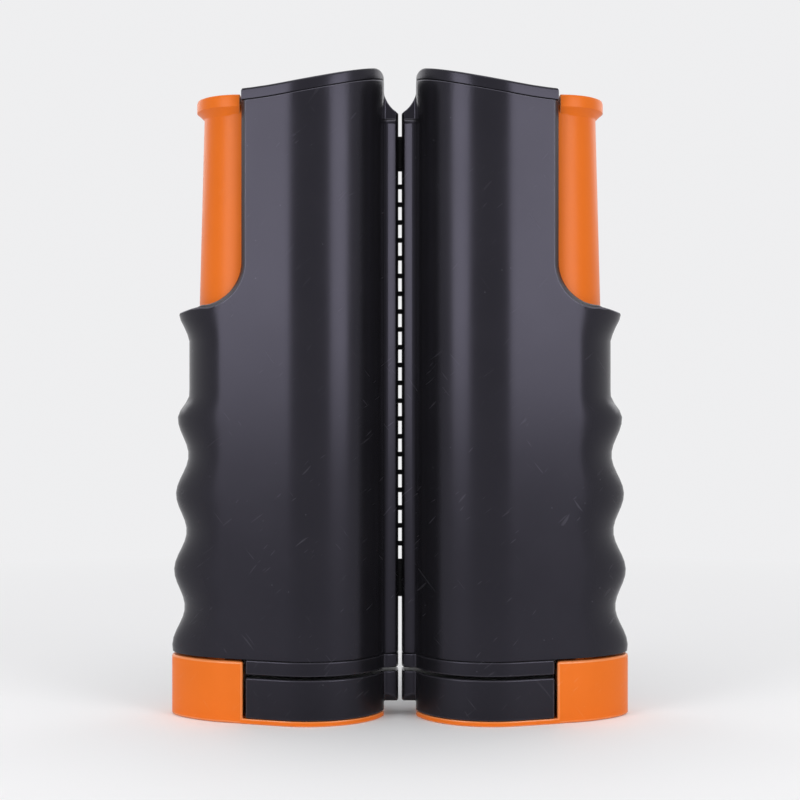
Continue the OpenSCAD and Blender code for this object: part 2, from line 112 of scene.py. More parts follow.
def editAll(piece, mode="FACE"):
    edit(piece, mode)
    bpy.ops.mesh.select_all(action="SELECT")


def pickFaces(piece, wanted):     # wanted(centre in mm, normal); stays in edit mode
    edit(piece, "FACE")
    bpy.ops.mesh.select_all(action="DESELECT")
    leaveEdit()
    for face in piece.data.polygons:
        face.select = wanted(face.center / mm, face.normal)
    edit(piece, "FACE")


def settled(name):                # names the new piece and puts its place into its mesh
    piece = bpy.context.object
    piece.name = piece.data.name = name
    bpy.ops.object.transform_apply(location=True, rotation=True, scale=True)
    return piece


def addBox(name, low, high):
    low, high = Vector(low) * mm, Vector(high) * mm
    bpy.ops.object.select_all(action="DESELECT")
    bpy.ops.mesh.primitive_cube_add(size=1, location=(low + high) / 2, scale=high - low)
    return settled(name)


def addRod(name, radius, start, end, sides=40):
    start, end = Vector(start) * mm, Vector(end) * mm
    turn = (end - start).to_track_quat("Z", "Y").to_euler()
    bpy.ops.object.select_all(action="DESELECT")
    bpy.ops.mesh.primitive_cylinder_add(vertices=sides, radius=radius * mm, depth=(end - start).length,
                                        location=(start + end) / 2, rotation=turn)
    return settled(name)


def traceLine(name, points):      # draws a line corner by corner
    corners = [Vector(p) * mm for p in points]
    bpy.ops.object.select_all(action="DESELECT")
    bpy.ops.mesh.primitive_plane_add(size=mm, location=corners[0])
    piece = settled(name)
    editAll(piece, "VERT")
    bpy.ops.mesh.merge(type="CENTER")
    for here, there in zip(corners, corners[1:]):
        bpy.ops.mesh.extrude_region_move(TRANSFORM_OT_translate={"value": there - here})
    return piece


def traceOutline(name, points):   # draws a closed outline and fills it
    piece = traceLine(name, points)
    bpy.ops.mesh.select_all(action="SELECT")
    bpy.ops.mesh.edge_face_add()
    leaveEdit()
    return piece


def raiseOutline(name, points, steps):   # a traced outline, extruded by each step in turn
    piece = traceOutline(name, points)
    editAll(piece)
    for step in steps:
        bpy.ops.mesh.extrude_region_move(TRANSFORM_OT_translate={"value": Vector(step) * mm})
    leaveEdit()
    faceOutwards(piece)
    return piece


def faceOutwards(piece, gap=0.002):
    editAll(piece)
    bpy.ops.mesh.remove_doubles(threshold=gap * mm)
    bpy.ops.mesh.normals_make_consistent(inside=False)
    leaveEdit()


def copyOf(piece, name, scale=(1, 1, 1)):
    makeActive(piece)
    bpy.ops.object.duplicate()
    bpy.context.object.scale = scale
    copy = settled(name)
    if min(scale) < 0:
        faceOutwards(copy)
    return copy


def applyModifier(piece, kind, **settings):
    makeActive(piece)
    bpy.ops.object.modifier_add(type=kind)
    modifier = piece.modifiers[-1]
    for key, value in settings.items():
        setattr(modifier, key, value)
    bpy.ops.object.modifier_apply(modifier=modifier.name)


def combine(piece, tool, operation="DIFFERENCE"):
    applyModifier(piece, "BOOLEAN", object=tool, operation=operation, solver="EXACT")
    bpy.data.objects.remove(tool)


def joinAll(pieces, name):
    makeActive(pieces[0])
    for piece in pieces:
        piece.select_set(True)
    bpy.ops.object.join()
    return settled(name)


def roundEdges(piece, width, segments=2, angle=50):   # the rounding goes in the second material slot, which dress() fills with a painted edge highlight
    while len(piece.data.materials) < 2:
        piece.data.materials.append(None)
    applyModifier(piece, "BEVEL", width=width * mm, segments=segments, limit_method="ANGLE", material=1,
                  angle_limit=math.radians(angle), use_clamp_overlap=False, miter_outer="MITER_ARC")


def keepPlain(piece, where):      # faces here lose the painted edge highlight of the rounding
    for face in piece.data.polygons:
        if where(*(face.center / mm)):
            face.material_index = 0


def dress(piece, body, slot, material, *nodes):
    makeActive(piece)
    bpy.ops.object.shade_smooth_by_angle(angle=math.radians(38))
    applyModifier(piece, "WEIGHTED_NORMAL", keep_sharp=True, weight=50)
    # the second finish is the painted highlight for the rounded edges
    finishes = (material, paintedEdgeHighlights.get(material.name, material))
    if len(piece.data.materials) == 0:
        piece.data.materials.append(None)
    for i in range(len(piece.data.materials)):
        piece.data.materials[i] = finishes[i]
    if body:                      # a blended piece rides on no body of its own
        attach(piece, body)
    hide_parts(*nodes)


def dressBoth(piece, what, body, slot, material):   # the right-hand piece and its mirror image
    twin = copyOf(piece, "twin", (-1, 1, 1))
    for side, half in (("right", piece), ("left", twin)):
        half.name = half.data.name = side + what.title().replace("_", "")
        dress(half, body and side + "_" + body, slot, material, side + "_" + what)


# materials

def put(tree, kind, inputs=None, **settings):       # a node, with its inputs linked or set
    node = tree.nodes.new("ShaderNode" + kind)
    for key, value in settings.items():
        setattr(node, key, value)
    for key, value in (inputs or {}).items():
        if isinstance(value, bpy.types.NodeSocket):
            tree.links.new(value, node.inputs[key])
        else:
            node.inputs[key].default_value = value
    return node


def newGroup(name, inputs, outputs):
    tree = bpy.data.node_groups.new(name, "ShaderNodeTree")
    for label, kind, value in inputs:
        socket = tree.interface.new_socket(label, in_out="INPUT", socket_type="NodeSocket" + kind)
        if value is not None:
            socket.default_value = value
    for label, kind in outputs:
        tree.interface.new_socket(label, in_out="OUTPUT", socket_type="NodeSocket" + kind)
    source = tree.nodes.new("NodeGroupInput")
    sink = tree.nodes.new("NodeGroupOutput")
    return tree, source.outputs, sink.inputs


def rangeOf(tree, value, low, high, start=0.0, end=1.0):
    node = put(tree, "MapRange", {
        "Value": value, "From Min": low, "From Max": high, "To Min": start, "To Max": end})
    return node.outputs["Result"]


def calc(tree, operation, *values):
    node = put(tree, "Math", operation=operation)
    for socket, value in zip(node.inputs, values):
        if isinstance(value, bpy.types.NodeSocket):
            tree.links.new(value, socket)
        else:
            socket.default_value = value
    return node.outputs[0]


def makeMouldGrain():             # fine spark-eroded grain, with broad uneven tone
    tree, given, result = newGroup("mouldGrain", [("Vector", "Vector", None), ("Scale", "Float", 2600.0)],
                                   [("Height", "Float"), ("Tone", "Float")])
    fine = put(tree, "TexNoise", {"Vector": given["Vector"], "Scale": given["Scale"], "Detail": 3.0})
    broad = put(tree, "TexNoise", {"Vector": given["Vector"], "Scale": 38.0, "Detail": 4.0, "Roughness": 0.6})
    tree.links.new(fine.outputs["Fac"], result["Height"])
    tree.links.new(rangeOf(tree, broad.outputs["Fac"], 0.3, 0.7), result["Tone"])
    return tree


def makeFineScratches():          # thin slanting scratches, in patches
    tree, given, result = newGroup("fineScratches", [("Vector", "Vector", None), ("Amount", "Float", 0.5)],
                                   [("Mask", "Float")])
    masks = []
    for slant, fineness, length in ((40, 900.0, 7.0), (52, 1300.0, 9.0), (-38, 1100.0, 12.0)):
        turned = put(tree, "Mapping", {"Vector": given["Vector"], "Rotation": (0, math.radians(slant), 0),
                                       "Scale": (1.0, 12.0, length)}, vector_type="TEXTURE")
        lines = put(tree, "TexNoise", {"Vector": turned.outputs[0], "Scale": fineness, "Detail": 1.0})
        masks.append(rangeOf(tree, lines.outputs["Fac"], 0.72, 0.77))
    patches = put(tree, "TexNoise", {"Vector": given["Vector"], "Scale": 55.0, "Detail": 2.0})
    most = calc(tree, "MAXIMUM", calc(tree, "MAXIMUM", masks[0], masks[1]), masks[2])
    height = put(tree, "SeparateXYZ", {"Vector": given["Vector"]}).outputs["Z"]
    low = rangeOf(tree, height, 0.12, 0.05, 0.25, 1.0)     # the foot ends rub most
    where = calc(tree, "MULTIPLY", rangeOf(tree, patches.outputs["Fac"], 0.42, 0.62), low)
    amount = calc(tree, "MULTIPLY", calc(tree, "MULTIPLY", most, where), given["Amount"])
    tree.links.new(amount, result["Mask"])
    return tree


def makeDustSpecks():             # a few pale specks of dust
    tree, given, result = newGroup("dustSpecks", [("Vector", "Vector", None), ("Scale", "Float", 420.0)],
                                   [("Mask", "Float")])
    cells = put(tree, "TexVoronoi", {"Vector": given["Vector"], "Scale": given["Scale"]})
    near = rangeOf(tree, cells.outputs["Distance"], 0.10, 0.05)
    shade = put(tree, "SeparateColor", {"Color": cells.outputs["Color"]})
    few = calc(tree, "GREATER_THAN", shade.outputs["Red"], 0.93)
    tree.links.new(calc(tree, "MULTIPLY", near, few), result["Mask"])
    return tree


mouldGrain = makeMouldGrain()
fineScratches = makeFineScratches()
dustSpecks = makeDustSpecks()


def newMaterial(name, **values):
    material = bpy.data.materials.new(name)
    material.use_nodes = True
    tree = material.node_tree
    shader = tree.nodes["Principled BSDF"]
    for key, value in values.items():
        shader.inputs[key].default_value = value
    where = put(tree, "TexCoord").outputs["Object"]
    return material, tree, shader, where


def useGroup(tree, group, **inputs):
    node = put(tree, "Group", node_tree=group)
    for key, value in inputs.items():
        if isinstance(value, bpy.types.NodeSocket):
            tree.links.new(value, node.inputs[key])
        else:
            node.inputs[key].default_value = value
    return node.outputs


def mixColours(tree, amount, first, second):
    node = put(tree, "Mix", data_type="RGBA", inputs={"Factor": amount})
    for socket, value in ((node.inputs[6], first), (node.inputs[7], second)):
        if isinstance(value, bpy.types.NodeSocket):
            tree.links.new(value, socket)
        else:
            socket.default_value = (*value, 1)
    return node.outputs[2]


def plasticMaterial(name, look):
    material, tree, shader, where = newMaterial(name, **{"IOR": 1.46, "Specular IOR Level": look["gloss"],
                                                         "Specular Tint": (*look["tint"], 1)})
    grain = useGroup(tree, mouldGrain, Vector=where, Scale=look["grainScale"])
    scratch = useGroup(tree, fineScratches, Vector=where, Amount=look["scratches"])["Mask"]
    speck = useGroup(tree, dustSpecks, Vector=where)["Mask"]
    colour = mixColours(tree, grain["Tone"], look["dark"], look["light"])
    worn = mixColours(tree, calc(tree, "MAXIMUM", scratch, calc(tree, "MULTIPLY", speck, look["dust"])),
                      colour, look["worn"])
    tree.links.new(worn, shader.inputs["Base Color"])
    rough = rangeOf(tree, grain["Tone"], 0.0, 1.0, look["roughness"] - 0.025, look["roughness"] + 0.025)
    tree.links.new(calc(tree, "ADD", rough, calc(tree, "MULTIPLY", scratch, 0.2)), shader.inputs["Roughness"])
    height = calc(tree, "SUBTRACT", grain["Height"], calc(tree, "MULTIPLY", scratch, 0.8))
    bump = put(tree, "Bump", {"Height": height, "Strength": look["grain"], "Distance": 0.00002})
    tree.links.new(bump.outputs["Normal"], shader.inputs["Normal"])
    return material


plain, violet = (1, 1, 1), (0.80, 0.76, 1.0)
blackLook = {
    "dark": (0.0072, 0.0069, 0.0084), "light": (0.0092, 0.0088, 0.0106), "worn": (0.060, 0.058, 0.068),
    "gloss": 0.34, "tint": violet, "roughness": 0.25, "grain": 0.25, "grainScale": 2600.0, "scratches": 0.5,
    "dust": 0.8}
orangeLook = {
    "dark": (0.745, 0.149, 0.0050), "light": (0.795, 0.163, 0.0075), "worn": (0.82, 0.33, 0.17),
    "gloss": 0.24, "tint": plain, "roughness": 0.36, "grain": 0.2, "grainScale": 2400.0, "scratches": 0.2,
    "dust": 0.2}
shellPlastic = plasticMaterial("satinBlackPlastic", blackLook)
jawPlastic = plasticMaterial("jawBlackPlastic", {
    **blackLook, "gloss": 0.30, "roughness": 0.31, "grain": 0.35, "grainScale": 2200.0, "scratches": 0.4})
orangePlastic = plasticMaterial("orangePlastic", orangeLook)
reelPlastic = plasticMaterial("reelPlastic", {
    "dark": (0.09, 0.09, 0.105), "light": (0.11, 0.11, 0.125), "worn": (0.2, 0.2, 0.22), "gloss": 0.35,
    "tint": plain, "roughness": 0.5, "grain": 0.5, "grainScale": 1800.0, "scratches": 0.3, "dust": 0.2})
bushNylon = plasticMaterial("bushNylon", {
    "dark": (0.62, 0.59, 0.51), "light": (0.68, 0.65, 0.57), "worn": (0.5, 0.47, 0.4), "gloss": 0.4,
    "tint": plain, "roughness": 0.45, "grain": 0.3, "grainScale": 1800.0, "scratches": 0.3, "dust": 0.1})
shellEdgeHighlight = plasticMaterial("paintedShellEdgeHighlight", {    # rounded edges painted paler and glossier: a painted highlight along the edges, with the same scratches and dust
    **blackLook, "dark": (0.045, 0.043, 0.053), "light": (0.085, 0.082, 0.097), "gloss": 0.5,
    "roughness": 0.22})
# a fainter painted highlight along the jaws' rounded edges
jawEdgeHighlight = plasticMaterial("paintedJawEdgeHighlight", {
    **blackLook, "dark": (0.013, 0.0125, 0.015), "light": (0.027, 0.026, 0.031), "gloss": 0.4,
    "roughness": 0.25})
# a paler peach painted highlight along the orange bar's rounded edges
orangeEdgeHighlight = plasticMaterial("paintedOrangeEdgeHighlight", {
    **orangeLook, "dark": (0.77, 0.20, 0.03), "light": (0.80, 0.27, 0.10), "gloss": 0.4, "roughness": 0.25})
# each plastic with the finish that paints a highlight on its rounded edges
paintedEdgeHighlights = {"satinBlackPlastic": shellEdgeHighlight, "jawBlackPlastic": jawEdgeHighlight, "orangePlastic": orangeEdgeHighlight}


def steelMaterial(name, look):
    material, tree, shader, where = newMaterial(name, Metallic=1.0)
    drawn = put(tree, "Mapping", {"Vector": where, "Scale": look["stretch"]})
    streaks = put(tree, "TexNoise", {"Vector": drawn.outputs[0], "Scale": 900.0, "Detail": 3.0})
    broad = put(tree, "TexNoise", {"Vector": where, "Scale": 120.0, "Detail": 3.0})
    tone = rangeOf(tree, broad.outputs["Fac"], 0.3, 0.7)
    tree.links.new(mixColours(tree, tone, look["dark"], look["light"]), shader.inputs["Base Color"])
    low, high = look["roughness"] - 0.08, look["roughness"] + 0.08
    rough = rangeOf(tree, streaks.outputs["Fac"], 0.3, 0.7, low, high)
    tree.links.new(rough, shader.inputs["Roughness"])
    bump = put(tree, "Bump", {"Height": streaks.outputs["Fac"], "Strength": 0.2, "Distance": 0.00002})
    tree.links.new(bump.outputs["Normal"], shader.inputs["Normal"])
    return material


zincSteel = steelMaterial("zincSteel", {
    "dark": (0.50, 0.51, 0.52), "light": (0.62, 0.63, 0.65), "roughness": 0.32, "stretch": (1, 1, 0.08)})
springSteel = steelMaterial("springSteel", {
    "dark": (0.27, 0.27, 0.28), "light": (0.38, 0.38, 0.40), "roughness": 0.3, "stretch": (1, 1, 1)})


def netMaterial(name, look):
    material, tree, shader, where = newMaterial(name, **{"Roughness": 0.75, "Specular IOR Level": 0.2})
    shader.inputs["Sheen Weight"].default_value = 0.25
    bands = {"Vector": where, "Scale": look["threads"], "Distortion": 0.6, "Detail": 1.0}
    up = put(tree, "TexWave", bands, bands_direction="Z")
    along = put(tree, "TexWave", bands, bands_direction="X")
    weave = calc(tree, "MULTIPLY", up.outputs["Fac"], along.outputs["Fac"])
    tree.links.new(mixColours(tree, weave, look["dark"], look["light"]), shader.inputs["Base Color"])
    bump = put(tree, "Bump", {"Height": weave, "Strength": 0.6, "Distance": 0.0001})
    tree.links.new(bump.outputs["Normal"], shader.inputs["Normal"])
    return material


netFabric = netMaterial("netFabric", {
    "dark": (0.006, 0.006, 0.007), "light": (0.045, 0.045, 0.05), "threads": 700.0})
print("materials ready")


# plan of a post

def flankHalf(u, inset=0):
    return (post["radius"] - inset - (u - post["reel"]) * math.sin(post["flank"])) / math.cos(post["flank"])


def halfAt(u, inset=0):           # half depth, front to back, of the post at u
    radius = post["radius"] - inset
    if u < post["reel"] + radius * math.sin(post["flank"]):
        return math.sqrt(max(0, radius ** 2 - (u - post["reel"]) ** 2))
    if u < noseStart:
        return flankHalf(u, inset)
    share = (u - noseStart) / (post["noseLength"] - inset)
    return flankHalf(u, inset) * math.sqrt(max(0, 1 - share ** 2))


def stations(start, end, inset=0):   # where the plan is drawn: barrel, flank and nose
    radius = post["radius"] - inset
    first = math.acos(min(1, (post["reel"] - start) / radius))
    last = math.pi / 2 + post["flank"]
    steps = 24
    barrel = [post["reel"] - radius * math.cos(first + (last - first) * i / steps) for i in range(steps + 1)]
    flank = [barrel[-1] + (noseStart - barrel[-1]) * i / 4 for i in range(1, 5)]
    nose = [noseStart + (post["noseLength"] - inset) * math.sin(math.pi / 2 * i / 10) for i in range(1, 11)]
    places = [u for u in barrel + flank + nose if u < end - 0.05]
    return places + [end]


def planRing(start, end, lips=()):
    line = list(lips) + [(u, halfAt(u)) for u in stations(start, end)]
    return [(u, -y, 0) for u, y in line] + [(u, y, 0) for u, y in reversed(line) if y > 0.001]


def seamAt(u):
    inward = post["edge"] - u
    rise = post["seamCrown"] * (inward / (post["edge"] - post["neck"])) ** 2
    return post["seam"] + post["seamSlope"] * inward + rise


grip = {
    "ridgeTop": 67.9,         # heights above the foot of the shells
    "pitch": 22,
    "depth": 3.4,
    "lean": 0.025,
    "relief": 7,
    "guard": 100.2,
    "guardEnd": 3.5,
    "guardDip": 0.5,
    "beak": 3.1,
    "beakDrop": 3.0,
    "beakRun": 7,
    "beakRound": 1.3,
    "fillet": 12,
    "bevelWide": 1.2,         # bevel along the shell's edge beside the bar
    "bevelDeep": 1.5,
    "bevelEnd": 61.5,
}
guardTop = post["foot"] + grip["guard"]
beakHeight = guardTop - grip["beakDrop"]


def gripAt(z):                    # outer edge of the shells at a height
    top = post["foot"] + grip["ridgeTop"]
    if z < top:
        swell = math.cos(2 * math.pi * (z - top) / grip["pitch"])
    else:
        swell = math.cos(math.pi * min(1, (z - top) / grip["relief"]))
    edge = post["tip"] - (min(z, top) - post["foot"]) * grip["lean"] - grip["depth"] / 2 * (1 - swell)
    lift = min(1, max(0, (z - beakHeight + grip["beakRun"]) / grip["beakRun"]))
    return edge + grip["beak"] * lift ** 1.3


plainEdge = gripAt(beakHeight - grip["beakRun"])


def arc(centre, radius, start, end, steps):
    angles = [math.radians(start + (end - start) * i / steps) for i in range(steps + 1)]
    return [(centre[0] + radius * math.cos(a), centre[1] + radius * math.sin(a)) for a in angles]


# shells

lips = {
    "half": 5.5,
    "base": 3.4,
    "fade": 1.8,
    "top": 172.6,
    "slotHalf": 0.8,
    "slotLow": 30.0,
    "slotHigh": 172.0,
    "rows": (30, 1.8, 1.3, 0.9, 0.6, 0.35, 0.15, 0.03, -20),    # rows of points, below the top
}
lipFacet = [(post["lip"], 2.0), (1.1, 4.55), (3.4, lips["half"]), (4.1, lips["half"])]
opening = {                   # the way of the push bar
    "tip": 59.03,
    "half": 14.58,
    "start": post["edge"] - 1.35,
    "arcStart": post["edge"] - 0.3,
    "low": guardTop - 6,
    "height": 70,
}
notchBottom = seamAt(post["neck"]) - post["notchDrop"]


def lipFade(z):                   # the lip's raised front is rounded off at its top
    near = min(1, max(0, (lips["top"] - z) / lips["fade"]))
    return math.sqrt(1 - (1 - near) ** 2)


def raisePost(name, ring, inset, rows):   # a ring raised to each height, with its nose on the finger ridges
    piece = raiseOutline(name, ring, [(0, 0, there - here) for here, there in zip(rows, rows[1:])])
    for point in piece.data.vertices:
        u, y, z = point.co / mm
        if u > noseStart + 0.01:
            reach = (gripAt(min(z, beakHeight)) - inset - noseStart) / (post["noseLength"] - inset)
            drawn = noseStart + (u - noseStart) * reach
            if y < -post["parting"]:
                y *= flankHalf(drawn, inset) / flankHalf(u, inset)
            point.co = Vector((drawn, y, z)) * mm
    return piece


def frontMask(name, points):      # an outline seen from the front, run through from front to back
    return raiseOutline(name, [(u, -30, z) for u, z in points], [(0, 60, 0)])


def guardLine(inset):             # upper side of the hand guard, and the hollow up to the edge
    beakCentre = (plainEdge + grip["beak"] - grip["beakRound"] - inset, beakHeight - inset)
    line = [(post["tip"] + 4, beakHeight - 1 - inset)] + arc(beakCentre, grip["beakRound"], 0, 90, 4)
    line.append((plainEdge - grip["guardEnd"], guardTop - grip["guardDip"] - inset))
    centre = (post["edge"] + grip["fillet"], guardTop + grip["fillet"])
    return line + arc(centre, grip["fillet"] + inset, 270, 180, 14)


def notchLine():                  # the hollow at the top of the lips, from the barrel to the slit
    reach, power = post["neck"] - post["lip"], 2 / post["notchPower"]
    angles = [math.radians(90 * i / 12) for i in range(13)]
    return [(post["lip"] + reach * math.cos(a) ** power,
             notchBottom + post["notchHigh"] * (1 - math.sin(a) ** power)) for a in angles]


def edgeBevel():                  # a tool that bevels the shell's edge beside the bar
    path = [(post["edge"], seamAt(post["edge"]) + 3)] + list(reversed(guardLine(0)[6:]))
    path += [(grip["bevelEnd"], guardLine(0)[5][1])]
    steps = [(0, 0, 1)] * (len(path) - 1)
    piece = raiseOutline("edgeBevel", [(0, 0, 0), (1, 0, 0), (1, 1, 0)], steps)
    for point in piece.data.vertices:
        corner = (round(point.co.x / mm), round(point.co.y / mm))
        step = round(point.co.z / mm)
        here = Vector(path[step])
        along = Vector(path[min(step + 1, len(path) - 1)]) - Vector(path[max(step - 1, 0)])
        inward = Vector((along.y, -along.x)).normalized()
        fade = min(1, max(0.02, (grip["bevelEnd"] - here.x) / 5))
        wide, deep = grip["bevelWide"] * fade, grip["bevelDeep"] * fade
        rim = here + inward * wide * 1.4
        if corner == (0, 0):      # past the rim, off the surface
            point.co = Vector((rim.x, -halfAt(rim.x) - 0.4 * deep, rim.y)) * mm
        elif corner == (1, 0):    # deep in the cut wall
            back = here - inward * wide * 0.4
            point.co = Vector((back.x, -halfAt(here.x) + 1.4 * deep, back.y)) * mm
        else:                     # off both
            away = here - inward * (wide + 0.5)
            point.co = Vector((away.x, -halfAt(here.x) - deep - 0.6, away.y)) * mm
    faceOutwards(piece)
    return piece


gripRows = [post["foot"] + 2 + (beakHeight + 5 - post["foot"] - 2) * i / 50 for i in range(51)]


def shellForm():                  # the front half of a post as one solid, cut to its outline
    low, high = post["foot"], lips["top"]
    line = lipFacet + [(4.5, lips["half"] - 0.25)]
    line += [(u, halfAt(u)) for u in stations(post["neck"] + 0.1, post["tip"])[:-1]]
    ring = [(u, -y, low) for u, y in line]
    ring += [(post["tip"], -post["parting"], low), (post["lip"], -post["parting"], low)]
    rows = [low] + gripRows + [high - step for step in lips["rows"]]
    form = raisePost("shellForm", ring, 0, rows)
    for point in form.data.vertices:
        u, y, z = point.co / mm
        if u < post["neck"] and y < -lips["base"]:
            point.co.y = -(lips["base"] + (-y - lips["base"]) * lipFade(z)) * mm
    outline = [(-2, low - 2), (post["tip"] + 4, low - 2)] + guardLine(0)
    outline += [(u, seamAt(u)) for u in reversed(stations(post["neck"], post["edge"]))]
    outline += notchLine() + [(-2, notchBottom)]
    combine(form, frontMask("outline", outline), "INTERSECT")
    combine(form, edgeBevel())
    faceOutwards(form, 0.02)
    return form


def hollowShell(form):            # cuts the cavity, the way of the push bar and the net's slot
    shell = copyOf(form, "shell")
    low, wall = post["foot"] - 1, post["wall"]
    places = stations(post["reel"] - post["radius"] + wall, post["tip"] - wall, wall)
    line = [(u, -halfAt(u, wall)) for u in places]
    ring = [(u, y, low) for u, y in line] + [(line[-1][0], 2, low), (line[0][0], 2, low)]
    cavity = raisePost("cavity", ring, wall, [low] + gripRows + [seamAt(0) + 2])
    openFrom = guardTop + grip["fillet"]
    outline = [(-2, low - 2), (post["tip"] + 4, low - 2)] + guardLine(wall)
    outline += [(post["tip"] + 4, openFrom), (post["tip"] + 4, seamAt(0) + 3), (-2, seamAt(0) + 3)]
    combine(cavity, frontMask("cavityOutline", outline), "INTERSECT")
    combine(shell, cavity)
    reach = opening["tip"] - opening["arcStart"]
    angles = [math.radians(a) for a in range(0, 91, 6)]
    curve = [(opening["arcStart"] + reach * math.sin(a), opening["half"] * math.cos(a)) for a in angles]
    line = [(opening["start"], -opening["half"])] + [(u, -y) for u, y in curve]
    line += [(opening["tip"], 3), (opening["start"], 3)]
    ring = [(u, y, opening["low"]) for u, y in line]
    combine(shell, raiseOutline("barWay", ring, [(0, 0, opening["height"])]))
    slot = addBox("slot", (-2, -lips["slotHalf"], lips["slotLow"]), (post["reel"], 5, lips["slotHigh"]))
    combine(shell, slot)
    return shell


screws = {
    "radius": 1.25,
    "head": 2.3,
    "headHeight": 1.4,
    "headRound": 0.6,
    "recess": 0.8,
    "boss": 3.2,
    "bossSink": 0.9,          # the bosses end this far under the shell's surface
    "pocketGap": 0.1,
    "sink": 0.2,
    "shellLength": 12,
    "jawLength": 8.3,
    "jawSeat": 1.7,
    "inner": 7.6,             # places beside the slit, and between the net roll and the bar
    "outer": 46.1,
}
pocketRadius = screws["head"] + screws["pocketGap"]
springCentre = (springLow.x + springHigh.x) / 2
bar = {"low": guardTop - 4.7, "shelf": 3.0}   # the rest of the bar's sizes are beside it
screwPlaces = [(screws["inner"], post["foot"] + 7.4), (screws["inner"], rollHigh.z + 6),
               (post["edge"] - 4.8, rollHigh.z + 4.4),
               (screws["outer"], 28), (screws["outer"], bar["low"] - 50.7)]


def seatAt(u):
    shallow = u - pocketRadius if u < post["reel"] else u + pocketRadius
    return halfAt(shallow) - screws["headHeight"] - screws["sink"]


form = shellForm()
frontShell = hollowShell(form)
rearShell = copyOf(frontShell, "rearShell", (1, -1, 1))
rearForm = copyOf(form, "rearForm", (1, -1, 1))
rearForm.location.y = -screws["bossSink"] * mm
makeActive(rearForm)
bpy.ops.object.transform_apply(location=True)
bosses = joinAll([addRod("boss", screws["boss"], (u, 2, z), (u, 30, z)) for u, z in screwPlaces], "bosses")
combine(bosses, rearForm, "INTERSECT")
combine(rearShell, bosses, "UNION")
pockets = [addRod("pocket", pocketRadius, (u, seatAt(u), z), (u, 30, z)) for u, z in screwPlaces]
combine(rearShell, joinAll(pockets, "pockets"))
bpy.data.objects.remove(form)
for shell in (frontShell, rearShell):
    faceOutwards(shell, 0.03)
    roundEdges(shell, post["rounding"], 2, 35)
    # the painted edge highlight is taken off the lower edges and off the lips below the notch
    keepPlain(shell, lambda u, y, z: z < guardTop - 8 or (u < 30 and z < notchBottom - 0.3))
dressBoth(frontShell, "front_shell", "post", "shell_plastic", shellPlastic)
dressBoth(rearShell, "rear_shell", "post", "shell_plastic", shellPlastic)
print("shells modelled")


# cap, upper jaw and lower jaw

cap = {
    "thick": 3.3,
    "corner": 2.6,
    "rim": 0.7,
    "gap": 0.08,
    "rounding": 0.25,
}


def makeCap():
    piece = raiseOutline("cap", planRing(post["neck"], post["edge"]), [(0, 0, cap["thick"])])
    pickFaces(piece, lambda place, normal: normal.z > 0.9)
    bpy.ops.mesh.region_to_loop()
    bpy.ops.mesh.bevel(offset=cap["rim"] * mm, segments=3, affect="EDGES")
    cuts = stations(post["neck"], post["edge"])[1:-1]
    cuts += [post["neck"] + cap["corner"] * share for share in (0.03, 0.1, 0.2, 0.35, 0.5, 0.7, 1)]
    for u in cuts:
        editAll(piece)
        bpy.ops.mesh.bisect(plane_co=(u * mm, 0, 0), plane_no=(1, 0, 0))
    leaveEdit()
    for point in piece.data.vertices:
        u, height = point.co.x / mm, point.co.z / mm
        inCorner = min(cap["corner"], max(0, cap["corner"] - (u - post["neck"])))
        drop = cap["corner"] - math.sqrt(cap["corner"] ** 2 - inCorner ** 2)
        point.co.z = (seamAt(u) + cap["gap"] + height - drop * height / cap["thick"]) * mm
    faceOutwards(piece, 0.01)
    roundEdges(piece, cap["rounding"], 2, 60)
    # the painted edge highlight is taken off the cap's lower edge
    keepPlain(piece, lambda u, y, z: z < seamAt(u) + 1)
    return piece


dressBoth(makeCap(), "top_cap", "post", "shell_plastic", shellPlastic)

jaws = {
    "plate": 1.5,
    "padTop": padHigh.z,
    "stripLow": padHigh.z + 0.9,
    "tongue": 9,
    "tongueBevel": 2.4,
    "gap": 0.08,
    "rounding": 0.45,
}


def makeUpperJaw():
    ring = planRing(post["neck"], post["jaw"], lipFacet)
    piece = raiseOutline("strip", [(u, y, jaws["stripLow"]) for u, y, z in ring],
                         [(0, 0, post["foot"] - jaws["stripLow"] - jaws["gap"])])
    roundEdges(piece, jaws["rounding"], 3, 60)
    return piece


def makeLowerJaw():
    ring = planRing(post["neck"], post["jaw"])
    pad = raiseOutline("pad", [(u, y, jaws["plate"] + jaws["gap"]) for u, y, z in ring],
                       [(0, 0, jaws["padTop"] - jaws["plate"] - jaws["gap"])])
    top, half, bevel = jaws["padTop"], lips["half"], jaws["tongueBevel"]
    low = top - jaws["tongue"]
    section = [(-half, top), (-half, low + bevel), (bevel - half, low),
               (half - bevel, low), (half, low + bevel), (half, top)]
    tongue = raiseOutline("tongue", [(0, y, z) for y, z in section], [(8, 0, 0)])
    lipRing = [(u, -y, 0) for u, y in lipFacet + [(post["neck"] + 2, half + 0.5)]]
    lipRing += [(u, -y, 0) for u, y, z in reversed(lipRing)]
    combine(tongue, raiseOutline("lipMask", lipRing, [(0, 0, 20)]), "INTERSECT")
    combine(pad, tongue, "UNION")
    faceOutwards(pad, 0.01)
    roundEdges(pad, jaws["rounding"], 3, 40)
    return pad


dressBoth(makeUpperJaw(), "upper_jaw", "post", "jaw_plastic", jawPlastic)
dressBoth(makeLowerJaw(), "lower_jaw", "slider", "jaw_plastic", jawPlastic)
print("cap and jaws modelled")


# push bar with its thumb lip, foot block and plate

